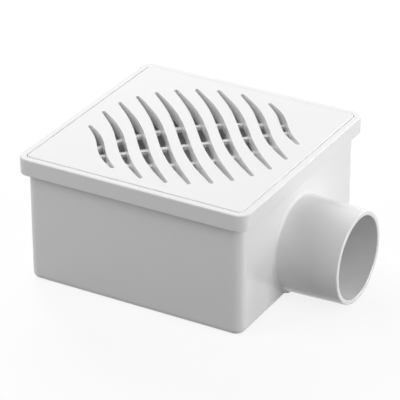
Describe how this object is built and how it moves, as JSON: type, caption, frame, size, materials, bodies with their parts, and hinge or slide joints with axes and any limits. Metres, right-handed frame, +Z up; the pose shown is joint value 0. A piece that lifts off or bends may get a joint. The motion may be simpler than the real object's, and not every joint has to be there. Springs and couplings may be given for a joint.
{
  "type": "gully trap",
  "caption": "Square floor gully trap with a grille of wave-shaped slots, a lift-out odour trap and a horizontal socket outlet.",
  "frame": {"origin": "middle of the body's flat underside", "axes": "+Z up towards the grille, +X along the outlet, out of its mouth"},
  "size_m": [0.1853, 0.15, 0.0805],
  "materials": {
    "white_plastic": "glossy, moulded",
    "seal_rubber": "matt"
  },
  "bodies": {
    "root": {"body": "white_plastic", "grille": "white_plastic", "seal": "seal_rubber", "trap_insert": "white_plastic", "water_cup": "white_plastic"}
  },
  "joints": []
}
